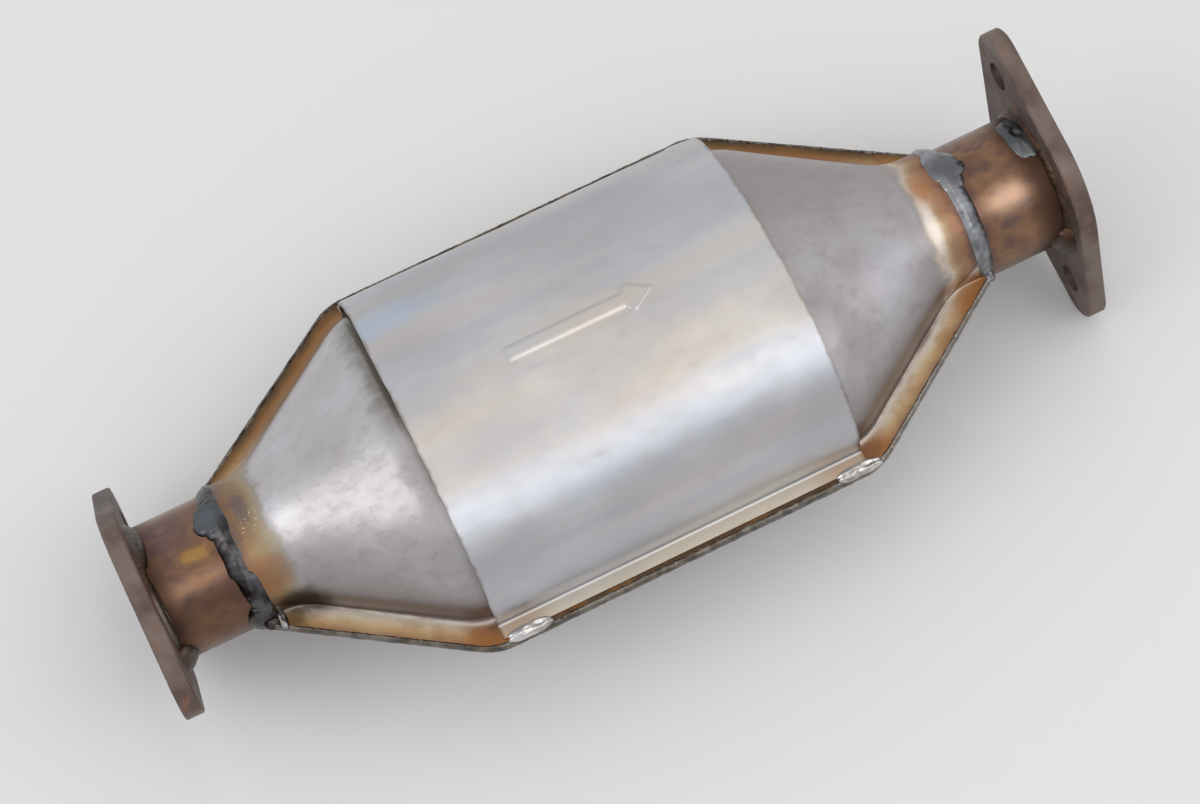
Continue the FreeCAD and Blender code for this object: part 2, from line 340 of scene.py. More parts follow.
# %% The flow arrow
ARROW_HEIGHT = 0.68
ARROW_SLOPE = 1.4           # width of its sloping side
ARROW_TAIL, ARROW_TIP = 151.5, 207.0
right_half = np.array([(ARROW_TAIL, -2.6), (196.5, -2.6), (197.0, -4.6), (199.0, -5.4)])
left_half = right_half[::-1] * (1, -1)
ARROW = np.concatenate([right_half, [(ARROW_TIP, 0.0)], left_half])
print(f"the arrow is {ARROW_TIP - ARROW_TAIL} long")


def outline_distance(x, y, corners):
    """Distance from the outline of a polygon, negative inside it."""
    best = np.full(x.shape, 1e9)
    inside = np.zeros(x.shape, bool)
    for (ax, ay), (bx, by) in zip(corners, np.roll(corners, -1, axis=0)):
        ex, ey = bx - ax, by - ay
        t = np.clip(((x - ax) * ex + (y - ay) * ey) / (ex * ex + ey * ey), 0, 1)
        best = np.minimum(best, np.hypot(x - ax - t * ex, y - ay - t * ey))
        if ey:
            crossing = (ay > y) != (by > y)
            inside ^= crossing & (x < ax + (y - ay) * ex / ey)
    return np.where(inside, -best, best)


def pressed_arrow(x, y):
    """Height of the arrow above the sheet."""
    t = np.clip(0.5 - outline_distance(x, y, ARROW) / ARROW_SLOPE, 0, 1)
    return ARROW_HEIGHT * t * t * (3 - 2 * t)


# %% [markdown]
# The shield could be a coarse sheet with a subdivision modifier, but the arrow needs points
# half a millimetre apart.  So the grid is fine only where the arrow is, both along X and over
# the crown, and coarse elsewhere.  Trimming leaves the two ends slightly uneven, so their
# rows wander a little.

# %% The heat shield
SHIELD_FULLNESS = 2.2       # its shoulders are a little squarer than an ellipse
FINE_FROM, FINE_TO, FINE_STEP = ARROW_TAIL - 4.5, ARROW_TIP + 5.0, 0.55
NEAR_CROWN = 0.95           # share of the oval from the foot to the strip with the arrow
END_WANDER, END_REACH = 0.35, 6.0       # how far the cut ends wander, and how far in it fades


def build_shield():
    """The sheet with its arrow, its waves and its two uneven ends."""
    places = np.concatenate([np.linspace(SHIELD_FRONT, FINE_FROM, 20, endpoint=False),
                             np.arange(FINE_FROM, FINE_TO, FINE_STEP),
                             np.linspace(FINE_TO, SHIELD_REAR, 21)])
    shares = np.concatenate([np.linspace(0, NEAR_CROWN, 50, endpoint=False),
                             np.linspace(NEAR_CROWN, 1, 18)])
    base, rise = SHEET, SHIELD_TOP - SHEET - ARROW_HEIGHT
    faces = []
    for inset, level in ((0.0, base + SHIELD_SHEET), (SHIELD_SHEET, base)):
        line = hat_line(SHIELD_HALF_WIDTH - inset, rise - inset, LIP_EDGE,
                        SHIELD_BEND + inset, base, level, shares, SHIELD_FULLNESS)
        faces.append(np.array([np.column_stack([np.full(len(line), x), line])
                               for x in places]))
    outer, inner = faces
    edge_run = distance_over(outer)
    waves = hollows(outer, (0.16, 38, 1.7), (0.06, 13, 5.2), sink=0.14, flat=6, ease=20)
    on_crown = outer[..., Z] > rise / 2
    lift = waves + pressed_arrow(outer[..., X], outer[..., Y]) * on_crown
    push = rise_outwards(outer) * lift[..., None]
    outer, inner = outer + push, inner + push
    ragged = END_WANDER * (swell(outer[0], 9, 2.0) + 1)
    at_front = np.clip(1 - (places - SHIELD_FRONT) / END_REACH, 0, 1)[:, None]
    at_rear = np.clip(1 - (SHIELD_REAR - places) / END_REACH, 0, 1)[:, None]
    for face in (outer, inner):
        face[..., X] += at_front * ragged - at_rear * ragged[::-1]
    return sheet_piece("heat_shield_sheet", outer, inner, stands_for=["heat_shield"],
                       slot="shield", measures={"from_edge": np.stack([edge_run, edge_run])})


shield = build_shield()

# %% [markdown]
# Weld beads.  A bead is metal that froze puddle by puddle, so it has ripples across it, an
# uneven width and a fat spot wherever the welder stopped and started again.  Each bead is a
# closed ring or rope of points whose height and width wander with soft noise.  These helpers
# serve all the rings round the pipes.

# %% Rings round the pipe
RING_STEPS = 460
PROFILE_STEPS = 13
RING_ANGLES = np.linspace(0, 2 * math.pi, RING_STEPS, endpoint=False)
PROFILE = np.linspace(0, 1, PROFILE_STEPS)


def bump_at(middle, half_width):
    """1 around one angle round the pipe, and 0 beyond half_width, in degrees."""
    away = np.abs((np.degrees(RING_ANGLES) - middle + 180) % 360 - 180)
    return np.sqrt(np.clip(1 - (away / half_width) ** 2, 0, 1))


def ring_piece(name, rows, **facts):
    """A closed ring from profiles of (x, radius), one for each angle round X."""
    points = np.array([[(x, r * math.cos(a), r * math.sin(a)) for x, r in row]
                       for row, a in zip(rows, RING_ANGLES)])
    faces = grid_faces(len(rows), len(rows[0]), wrap_rows=True, wrap_columns=True)
    return add_piece(name, points.reshape(-1, 3), faces, **facts)


def wander(size, seed):
    """Soft noise that closes on itself round the pipe."""
    ring = np.column_stack([np.zeros(RING_STEPS), np.cos(RING_ANGLES), np.sin(RING_ANGLES)])
    return swell(ring * PIPE_RADIUS, size, seed)


print(f"a ring has a point every {2 * math.pi * PIPE_RADIUS / RING_STEPS:.2f} mm")

# %% [markdown]
# The beads at the necks close the gap between neck and pipe.  They stand on the neck with
# one foot and on the pipe with the other, and each has pads where metal piled up: the stops
# and starts on top, and a lump at the seam of the inlet neck.  A curve with a bevel would
# give an even bead, and these two are anything but even, so each section is worked out.

# %% Neck welds
NECK_LAP, NECK_TOE, NECK_CROWN = 2.4, 4.8, 0.9  # reach over neck and pipe, and height
RIPPLE_HEIGHT = 0.05
NECK_RIPPLE, FLANGE_RIPPLE = 2.9, 2.7           # from one ripple to the next


def build_neck_weld(node, end, towards_body, pads, unevenness, seed):
    """Bead over the end of a neck.

    Each pad is (angle, half width, growth over the neck, growth over the pipe, lift).
    """
    lap = NECK_LAP + unevenness * wander(6, seed)
    toe = NECK_TOE + unevenness * wander(7, seed + 3)
    crown = NECK_CROWN + 0.3 * unevenness * wander(5, seed + 5)
    flat = np.zeros(RING_STEPS)
    for middle, half_width, over_neck, over_pipe, lift in pads:
        grow = bump_at(middle, half_width)
        lap, toe, crown = lap + over_neck * grow, toe + over_pipe * grow, crown + lift * grow
        flat = np.maximum(flat, grow)
    rows = []
    for k, angle in enumerate(RING_ANGLES):
        run = angle * PIPE_RADIUS + 2.0 * np.sin(math.pi * PROFILE)
        body = 1 - np.abs(2 * PROFILE - 1) ** (2.2 + 2.5 * flat[k])
        phase = 2 * math.pi * run / NECK_RIPPLE + 2 * math.sin(3 * angle)
        ripple = RIPPLE_HEIGHT * np.sin(phase) * body
        x = end + towards_body * (lap[k] - (lap[k] + toe[k]) * PROFILE)
        past = np.clip((end - x) * towards_body / toe[k], 0, 1)
        r = NECK_RADIUS + (PIPE_RADIUS - NECK_RADIUS) * past ** 0.8 + crown[k] * body + ripple
        sunk = [(x[-1], PIPE_RADIUS - 0.5), (x[0], PIPE_RADIUS + 0.6)]
        rows.append(list(zip(x, r - 0.15)) + sunk)
    return ring_piece(node + "_bead", rows, stands_for=[node], slot="weld")


inlet_neck_weld = build_neck_weld(
    "inlet_neck_weld", NECK_IN, 1,
    [(75, 15, 0.2, 3.4, 0.25), (86, 10, 0.4, 1.6, 0.2), (165, 36, 2.6, -2.0, 0.0),
     (176, 14, 0.6, 2.6, 1.0), (300, 20, 0.8, 1.0, 0.3)], 0.4, 1.3)
outlet_neck_weld = build_neck_weld(
    "outlet_neck_weld", NECK_OUT, -1,
    [(70, 16, 1.8, 3.6, 0.1), (84, 12, 0.5, 1.6, 0.1), (255, 18, 0.8, 1.0, 0.3)], 0.1, 6.1)

# %% [markdown]
# The flanges are welded to the pipes from the body's side with a thin fillet.  It has a few
# fat stitches, where the welder laid the metal by hand, each with a small crater at its
# middle.  Every section is worked out in the same way as for the necks.

# %% Flange welds
FLANGE_FOOT, FLANGE_LEG = 1.9, 2.0      # reach along the pipe and up the plate
SUNK = 0.12                             # into both, so that no gap shows


def build_flange_weld(node, plate, towards_body, stitches, seed):
    """Fillet between plate and pipe, thin all round, with a fat stitch at each stop.

    Each stitch is (angle, half width, growth along the pipe, growth up the plate).
    """
    foot = FLANGE_FOOT + 0.3 * wander(6, seed + 4)
    leg = FLANGE_LEG + 0.3 * wander(6, seed)
    fat = np.zeros(RING_STEPS)
    for middle, half_width, along, up in stitches:
        grow = bump_at(middle + 2 * wander(9, seed), half_width)
        foot, leg = foot + along * grow, leg + up * grow
        fat = np.maximum(fat, grow)
    rows = []
    for k, angle in enumerate(RING_ANGLES):
        run = angle * PIPE_RADIUS + 2 * PROFILE
        body = 1 - np.abs(2 * PROFILE - 1) ** 2.4
        ripple = RIPPLE_HEIGHT * np.sin(2 * math.pi * run / FLANGE_RIPPLE)
        belly = (0.25 + 0.6 * fat[k]) * body + ripple * body
        crater = 0.55 * np.exp(-((PROFILE - 0.6) / 0.13) ** 2) * max(fat[k] - 0.85, 0) / 0.15
        reach = (belly - crater) / math.sqrt(2)
        x = plate + towards_body * (foot[k] * PROFILE + reach - SUNK)
        r = PIPE_RADIUS + leg[k] * (1 - PROFILE) + reach - SUNK
        rows.append(list(zip(x, r)) + [(plate - towards_body * 0.3, PIPE_RADIUS - 0.4)])
    return ring_piece(node + "_bead", rows, stands_for=[node], slot="weld")


inlet_flange_weld = build_flange_weld(
    "inlet_flange_weld", INLET_PLATE, 1,
    [(66, 26, 3.0, 3.2), (134, 28, 0.8, 2.2), (183, 16, 4.2, 3.4), (300, 30, 2.0, 2.6)], 2.2)
outlet_flange_weld = build_flange_weld(
    "outlet_flange_weld", OUTLET_PLATE, -1,
    [(187, 15, 5.0, 4.0), (290, 30, 2.0, 2.6)], 9.3)

# %% [markdown]
# The seam welds run along the edges of the two shells from one neck to the other.  They are
# fine and grainy, because the torch moved fast along two sheet edges.  A rope of points
# follows the edge of the flange, and short noise makes the grain.

# %% Seam welds
SEAM_HALF_WIDTH, SEAM_HALF_HEIGHT = 1.3, 1.9
SEAM_INSET = 0.45           # from the sheets' edge in to the middle of the bead
SEAM_STEP, SEAM_SIDES = 0.55, 12


def build_seam_weld(node, side, seed):
    """Bead along the left (side 1) or right (side -1) edge, with flat ends."""
    places = np.arange(NECK_IN - 0.5, NECK_OUT + 0.5, SEAM_STEP)
    turns = np.linspace(-math.pi, math.pi, SEAM_SIDES, endpoint=False)
    rows = []
    for x in places:
        edge = at_station(x)[2]
        rows.append([(x, side * (edge - SEAM_INSET + SEAM_HALF_WIDTH * math.cos(t)),
                      SEAM_HALF_HEIGHT * math.sin(t)) for t in turns])
    rows = np.array(rows)
    grain = 0.08 * swell(rows, 1.3, seed) + 0.07 * swell(rows, 4.5, seed + 2)
    middle = rows.mean(axis=1, keepdims=True)
    rows = middle + (rows - middle) * (1 + np.clip(grain, -0.35, 0.25))[..., None]
    rows[..., Y] = np.clip(rows[..., Y], -SEAM_REACH, SEAM_REACH)
    points = rows.reshape(-1, 3)
    faces = grid_faces(len(rows), SEAM_SIDES, wrap_columns=True, flip=side < 0)
    first = list(range(SEAM_SIDES))
    last = list(range(len(points) - SEAM_SIDES, len(points)))
    faces += [first[::-side], last[::side]]
    return add_piece(node + "_bead", points, faces, stands_for=[node], slot="weld")


left_seam_weld = build_seam_weld("left_seam_weld", 1, 4.0)
right_seam_weld = build_seam_weld("right_seam_weld", -1, 7.0)

# %% [markdown]
# A short tack at each corner ties the shield's lip down to the seam flange.  Each is one
# bright puddle with rings in it and a small crater where the arc was broken off.  It is a
# dome over an oval, made ring by ring, and closed below.  The same dome makes the run-outs
# where the neck beads meet the right seam, and, wrapped round the pipe, the stop of the
# outlet flange's weld.

# %% Tack welds and run-outs
DOME_RINGS, DOME_STEPS = 16, 56


def round_pipe(point, degrees):
    """Wrap a flat point round the pipe: its y runs round the skin and its z stands off it."""
    x, y, z = point
    turn = math.radians(degrees) - y / PIPE_RADIUS
    return (x, (PIPE_RADIUS + z) * math.cos(turn), (PIPE_RADIUS + z) * math.sin(turn))


def build_dome(name, place, size, seed, crater=0.35, wrap=None, **facts):
    """A frozen puddle: place is its middle on the sheet, size its half axes and height.

    On a sheet the crater is at the end where the arc broke off, and on a pipe, at the angle
    that wrap gives, it is small and in the middle.
    """
    x0, y0, z0 = place
    a, b, height = size
    points = [(x0, y0, z0 + height * (1 - crater * 0.4))]
    for i in range(1, DOME_RINGS + 1):
        share = i / DOME_RINGS
        for k in range(DOME_STEPS):
            turn = 2 * math.pi * k / DOME_STEPS
            blunt = abs(math.sin(2 * turn)) * 0.14 + 1
            y_out, x_out = math.sin(turn) * blunt, math.cos(turn) * blunt
            edge = 1 + 0.12 * noise.noise(Vector((x_out * 1.5, y_out * 1.5, seed)))
            x = x0 + a * share * edge * x_out
            y = y0 + b * share * edge * y_out
            rings = 0.04 * math.sin(9 * share + 2 * x_out)
            lump = 0.16 * noise.noise(Vector((x / 2.2, y / 2.2, seed)))
            if wrap is None:
                away = ((x - x0) / a - 0.45) ** 2 * 9 + (y - y0) ** 2 / b ** 2 * 6
            else:
                away = (((x - x0) / a) ** 2 + ((y - y0) / b) ** 2) * 26
            dip = crater * math.exp(-away)
            full = math.sqrt(max(1 - share ** 2.2, 0))
            points.append((x, y, z0 + height * (full * (1 + rings + lump - dip))))
    count = DOME_STEPS
    faces = [(0, 1 + k, 1 + (k + 1) % count) for k in range(count)]
    faces += grid_faces(DOME_RINGS, count, 1, wrap_columns=True, flip=True)
    rim = [1 + (DOME_RINGS - 1) * count + k for k in range(count)]
    base = len(points)
    points += [(points[k][0], points[k][1], z0 - 0.4) for k in rim]
    low = [base + k for k in range(count)]
    faces += [(rim[k], low[k], low[(k + 1) % count], rim[(k + 1) % count]) for k in range(count)]
    faces.append(low[::-1])
    if wrap is not None:
        points = [round_pipe(point, wrap) for point in points]
    return add_piece(name, points, faces, slot="weld", **facts)


SIDES = {"left": 1, "right": -1}
TACK_SIZES = {"left": (6.0, 1.9, 1.5), "right": (8.4, 2.3, 2.5)}     # half axes and height
TACK_REACH = {"left": -0.3, "right": 0.5}   # from the lip's edge to the middle of a tack
tacks = []
for end in ("front", "rear"):
    for side, sign in SIDES.items():
        node = f"{end}_{side}_tack_weld"
        middle = sum(span(node, X)) / 2
        place = (middle, sign * (LIP_EDGE + TACK_REACH[side]), SHEET)
        tacks.append(build_dome(node + "_puddle", place, TACK_SIZES[side], middle + sign,
                                stands_for=[node]))
stop = build_dome("outlet_stop", (353.6, 0.0, -0.1), (4.8, 10.5, 1.0), 3.0, 0.3, wrap=73)
run_outs = [
    build_dome("inlet_right_run_out", (43.6, -30.2, SHEET - 0.2), (1.9, 4.2, 2.2), 5.0, 0.1),
    build_dome("inlet_right_bridge", (40.6, -28.0, 0.6), (3.6, 3.4, 2.2), 8.0, 0.1),
    build_dome("outlet_right_run_out", (NECK_OUT + 1.4, -27.4, 0.4), (2.2, 2.4, 1.3), 6.5, 0.1),
]

# %% [markdown]
# Surfaces.  Every finish here is bare metal or ceramic that changes from place to place, so
# its colour is arithmetic on positions and noise.  A small class wraps a socket and gives it
# the ordinary operators, and one method adds any other node, so that a finish reads like a
# formula and not like a list of links.

# %% Sockets that can be added up
class Wire:
    """A number, vector or colour on its way through a finish: one output socket."""

    def __init__(self, finish, socket):
        self.finish = finish
        self.socket = socket

    def math(self, operation, *others):
        values = dict(enumerate((self, *others)))
        return self.finish.node("ShaderNodeMath", {"operation": operation}, values)

    def __add__(self, other):
        return self.math("ADD", other)

    __radd__ = __add__

    def __mul__(self, other):
        return self.math("MULTIPLY", other)

    def __sub__(self, other):
        return self.math("SUBTRACT", other)

    def __rsub__(self, other):
        values = {0: other, 1: self}
        return self.finish.node("ShaderNodeMath", {"operation": "SUBTRACT"}, values)

    def __truediv__(self, other):
        return self.math("DIVIDE", other)

    def __pow__(self, other):
        return self.math("POWER", other)

    def away_from(self, value):
        return (self - value).math("ABSOLUTE")

    def ramp(self, low, high):
        """0 below low and 1 above high, with a soft turn at each; either way round."""
        values = {"Value": self, "From Min": low, "From Max": high}
        settings = {"interpolation_type": "SMOOTHSTEP", "clamp": True}
        return self.finish.node("ShaderNodeMapRange", settings, values)


# %% [markdown]
# A finish is one node tree under construction.  Every object keeps the part's own frame, so
# the object coordinates are the same millimetres as the sizes above, and a stain can be put
# at a place on the part.  The noises are four-dimensional, and the fourth number is the seed.

# %% A finish under construction
class Finish:
    """One material, or the tree of the room's light."""

    def __init__(self, name, tree=None):
        if tree is None:
            self.material = bpy.data.materials.new(name)
            self.material.use_nodes = True
        self.tree = tree or self.material.node_tree
        self.tree.nodes.clear()
        self.place = self.node("ShaderNodeTexCoord", output="Object")
        split = self.node("ShaderNodeSeparateXYZ", None, {"Vector": self.place})
        outputs = split.socket.node.outputs
        self.x, self.y, self.z = (Wire(self, out) / MM for out in outputs)

    def node(self, kind, settings=None, values=None, output=0):
        """Any node: its settings first, then the values or links of its sockets."""
        made = self.tree.nodes.new(kind)
        for name, value in (settings or {}).items():
            if name == "stops":
                self.fill_stops(made.color_ramp, value)
            else:
                setattr(made, name, value)
        for name, value in (values or {}).items():
            if isinstance(value, Wire):
                self.tree.links.new(value.socket, made.inputs[name])
            else:
                made.inputs[name].default_value = value
        return Wire(self, made.outputs[output]) if made.outputs else None

    @staticmethod
    def fill_stops(ramp, stops):
        while len(ramp.elements) < len(stops):
            ramp.elements.new(1.0)
        for element, (place, colour) in zip(ramp.elements, stops):
            element.position, element.color = place, colour

    def noise(self, size, detail=2.0, seed=0.0, stretch=(1, 1, 1), rough=0.5):
        """Noise from 0 to 1 whose lumps are size millimetres across."""
        place = self.node("ShaderNodeVectorMath", {"operation": "MULTIPLY"},
                          {0: self.place, 1: tuple(1 / s for s in stretch)})
        values = {"Vector": place, "W": seed, "Scale": 1 / (size * MM), "Detail": detail,
                  "Roughness": rough}
        return self.node("ShaderNodeTexNoise", {"noise_dimensions": "4D"}, values)

    def near(self, place, radius, ragged=0.0, stretch=(1, 1, 1)):
        """1 at a place, in millimetres, fading to 0 at a radius with a ragged rim."""
        centre = tuple(p * MM / s for p, s in zip(place, stretch))
        drawn = self.node("ShaderNodeVectorMath", {"operation": "MULTIPLY"},
                          {0: self.place, 1: tuple(1 / s for s in stretch)})
        away = self.node("ShaderNodeVectorMath", {"operation": "DISTANCE"},
                         {0: drawn, 1: centre}, output=1) / MM
        if ragged:
            away = away + (self.noise(radius * 0.45, 3, place[0]) - 0.5) * ragged
        return away.ramp(radius, radius * 0.25)

    def stain(self, colour, tint, strength, place, radius, ragged=0.0, stretch=(1, 1, 1)):
        """A colour with a tint over it near a place, which hides it where strength is 1."""
        return self.mix(self.near(place, radius, ragged, stretch) * strength, colour, tint)

    def mix(self, share, first, second):
        """first where share is 0 and second where it is 1."""
        settings = {"data_type": "RGBA", "clamp_factor": True}
        return self.node("ShaderNodeMix", settings, {0: share, 6: first, 7: second}, output=2)

    def colours(self, value, stops):
        """A colour for each value, read from stops of (value, colour)."""
        low, high = stops[0][0], stops[-1][0]
        share = self.node("ShaderNodeMapRange", {"clamp": True},
                          {"Value": value, "From Min": low, "From Max": high})
        places = [((at - low) / (high - low), colour) for at, colour in stops]
        return self.node("ShaderNodeValToRGB", {"stops": places}, {"Fac": share})

    def bump(self, height, depth):
        """Normals for a relief of that depth in millimetres."""
        values = {"Height": height, "Distance": depth * MM, "Strength": 1.0}
        return self.node("ShaderNodeBump", None, values)

    def from_edge(self):
        """The distance from the sheet's edge, in millimetres, that the mesh carries."""
        return self.node("ShaderNodeAttribute", {"attribute_name": "from_edge"}, output="Fac")

    def surface(self, **values):
        """The shader at the end of the finish."""
        named = {name.replace("_", " ").title(): value for name, value in values.items()}
        shader = self.node("ShaderNodeBsdfPrincipled", None, named)
        self.node("ShaderNodeOutputMaterial", None, {"Surface": shader})
        print(f"{self.material.name}: {len(self.tree.nodes)} nodes")
        return self.material


def paint(red, green, blue):
    """A colour as a screen shows it, 0 to 255, in the linear numbers that shaders use."""
    parts = [c / 255 for c in (red, green, blue)]
    return tuple(c / 12.92 if c <= 0.04045 else ((c + 0.055) / 1.055) ** 2.4
                 for c in parts) + (1.0,)


print("silver steel is", [round(c, 2) for c in paint(205, 204, 204)])

# %% [markdown]
# The shells' own metal is a satin grey.  It is lighter on the far side of the inlet half and
# darker over the outlet half, and darker again next to the shield's ends.  A painted shadow
# line runs along the shield's ends, and the outlet cone has a painted highlight above its neck
# and a patch of painted shade that dims a lamp's reflection.  Each of these is a soft mask
# that mixes one more grey into the last.

# %% The shells' bare metal
SHIELD_HALF_LENGTH = (SHIELD_REAR - SHIELD_FRONT) / 2


def bare_shell(steel, cloud, mottle, inlet_half):
    """Satin grey sheet, darker by the shield's ends with a painted shadow line there, and a
    painted highlight and painted shade on the outlet cone.
    """
    grey = steel.mix(cloud.ramp(0.35, 0.65), paint(176, 171, 171), paint(195, 193, 196))
    grey = steel.mix(mottle.ramp(0.46, 0.72) * 0.45, grey, paint(146, 140, 139))
    left_side = steel.y.ramp(-20, 25)
    grey = steel.mix(inlet_half * left_side * 0.5, grey, paint(206, 205, 209))
    grey = steel.mix((1 - inlet_half) * (left_side * 0.6 + 0.2), grey, paint(158, 150, 149))
    from_shield = steel.x.away_from(MIDDLE) - SHIELD_HALF_LENGTH
    # Darker next to the shield's ends, most at the front end on the far side of the inlet half.
    by_shield_far = steel.y.ramp(-14, 6) * steel.y.ramp(62, 46) * inlet_half
    above_seam = steel.z.ramp(1.0, 8.0)
    by_shield_dark = (from_shield + (mottle - 0.5) * 16.0).ramp(10.5, 1.0) * (by_shield_far * 0.7 + 0.08)
    grey = steel.mix(by_shield_dark * above_seam, grey, paint(112, 108, 98))
    # Painted shadow: a thin dark line on the cones along both ends of the shield.
    shield_edge_shadow = (from_shield + (mottle - 0.5) * 2.0).ramp(2.2, 0.6) * (by_shield_far * 0.6 + 0.15)
    grey = steel.mix(shield_edge_shadow * above_seam, grey, paint(72, 67, 58))
    # Painted highlight: a pale bluish patch on the outlet cone above its neck.
    grey = steel.stain(grey, paint(196, 194, 205), 0.4, (288.0, -23.0, 32.0), 17.0, 9.0)
    # Painted shade: a darker patch on the outlet cone that dims the reflection of a lamp.
    return steel.stain(grey, paint(132, 127, 128), 0.55, (257.0, -36.0, 42.0), 17.0, 9.0)


# %% [markdown]
# Heat colours.  When stainless steel is welded, a thin oxide grows where it was hot: pale
# straw first, then gold, copper, violet and blue towards the bead.  The bands follow the
# distance from the weld, broken up by noise, and a colour ramp turns distance into colour.
# At the necks the distance runs along X.  The inlet has duller, more olive bands than the
# outlet, and each neck has stains of its own.  A pale cream streak along the crease of the
# outlet neck is a painted highlight.

# %% The heat colours at the necks
OUTLET_TINTS = [(0.0, paint(84, 66, 60)), (2.5, paint(104, 76, 64)), (5.0, paint(152, 108, 80)),
                (8.0, paint(156, 124, 92)), (11.0, paint(182, 156, 122)),
                (13.5, paint(204, 190, 174)), (16.5, paint(160, 151, 146))]
INLET_TINTS = [(0.0, paint(98, 82, 78)), (3.5, paint(124, 96, 72)), (7.5, paint(144, 115, 76)),
               (11.5, paint(150, 131, 98)), (15.0, paint(154, 144, 128)),
               (17.5, paint(160, 151, 146))]
VIOLET, REDDISH = paint(96, 88, 104), paint(152, 106, 72)
# The pale cream is a painted highlight for the crease of the outlet neck.
ORANGE, CREASE_HIGHLIGHT_CREAM = paint(184, 122, 84), paint(232, 220, 210)


def neck_colours(steel, colour, run, near_neck, inlet_half):
    """Bands by the distance run from the end of the neck, three stains and a painted highlight.
    """
    tint = steel.mix(inlet_half * 0.85, steel.colours(run, OUTLET_TINTS),
                     steel.colours(run, INLET_TINTS))
    colour = steel.mix(near_neck * 0.92, colour, tint)
    colour = steel.stain(colour, VIOLET, 0.55, (47.0, 4.0, 27.5), 8.0, 6.0, (0.5, 1.6, 1.6))
    colour = steel.stain(colour, REDDISH, 0.6, (46.5, -20.5, 18.0), 12.0, 7.0)
    colour = steel.stain(colour, ORANGE, 0.6, (312.0, 2.0, 27.0), 9.0, 5.0, (0.6, 1.2, 1.2))
    # Painted highlight: a pale cream streak along the crease between cone and outlet neck.
    return steel.stain(colour, CREASE_HIGHLIGHT_CREAM, 0.85, (309.6, -12.0, 24.5), 11.0, 5.0,
                       (0.34, 1.4, 1.4))


# %% [markdown]
# Along the seam the distance runs over the sheet from its edge, and each point of the mesh
# carries it as the measure from_edge.  The strips are golden on the right side and burnt
# brown on the left, dark with oxide and painted shade where the shield's lip covers them,
# and browned at the corners.  A painted highlight and a painted shadow mark the bend at the
# foot of the wall.

# %% The heat colours along the seam
# The pale stop at 9.6 mm is a painted highlight on the bend, and the dark stop at 11.4 mm a
# painted shadow at the foot of the wall; the other stops are heat colours.
SEAM_TINTS_AND_BEND_LIGHT = [(0.0, paint(104, 78, 60)), (1.8, paint(148, 113, 74)), (4.6, paint(184, 153, 108)),
              (7.5, paint(200, 184, 162)), (9.6, paint(206, 196, 184)),
              (11.4, paint(112, 96, 84)), (14.0, paint(128, 120, 117)),
              (26.0, paint(138, 130, 128))]
LEFT_STRIP_TINTS = [(0.0, paint(62, 55, 48)), (3.0, paint(92, 70, 50)), (5.5, paint(136, 94, 58)),
                    (8.5, paint(120, 100, 82)), (10.5, paint(142, 134, 128))]
BROWNED_CORNERS = [(255.0, -71.0, 2.0), (106.0, -70.0, 2.0), (316.0, -35.0, 2.0)]
UNDER_LIP_OXIDE_AND_SHADE, RUST, BROWN = paint(66, 52, 43), paint(140, 98, 60), paint(148, 98, 58)
DARK_BROWN, BURNT = paint(108, 74, 54), paint(64, 47, 35)


def seam_colours(steel, colour, run, near_neck):
    """Bands by the distance run from the seam's edge, which give way to those of the neck."""
    near_seam = run.ramp(42.0, 16.0) * (1 - run.ramp(10.0, 13.0) * near_neck)
    colour = steel.mix(near_seam * 0.88, colour, steel.colours(run, SEAM_TINTS_AND_BEND_LIGHT))
    left_strip = steel.y.ramp(15.0, 45.0) * run.ramp(11.5, 9.5)
    colour = steel.mix(left_strip * 0.9, colour, steel.colours(run, LEFT_STRIP_TINTS))
    covered = steel.x.away_from(MIDDLE).ramp(SHIELD_HALF_LENGTH + 2, SHIELD_HALF_LENGTH - 4)
    # Oxide and painted shade: the strip is darker where the shield's lip covers it.
    colour = steel.mix(covered * run.ramp(8.0, 4.0) * 0.85, colour, UNDER_LIP_OXIDE_AND_SHADE)
    rust = steel.noise(12, 3, 17.0, rough=0.6).ramp(0.48, 0.62) * run.ramp(10.0, 7.0)
    colour = steel.mix(rust * 0.4, colour, RUST)
    on_strip = run.ramp(11.0, 8.0)
    for corner in BROWNED_CORNERS:
        colour = steel.stain(colour, BROWN, on_strip * 0.8, corner, 15.0, 8.0)
    colour = steel.stain(colour, DARK_BROWN, on_strip * 0.6, (254.0, -69.0, 2.0), 7.5, 5.0)
    return steel.stain(colour, BURNT, 0.9, (52.0, -29.5, 6.0), 12.0, 7.0, (1.6, 0.8, 0.8))


# %% [markdown]
# Both shells share one finish, because they were pressed and welded together.  Last come a
# few bright specks by the inlet bead, and a relief of handling marks.

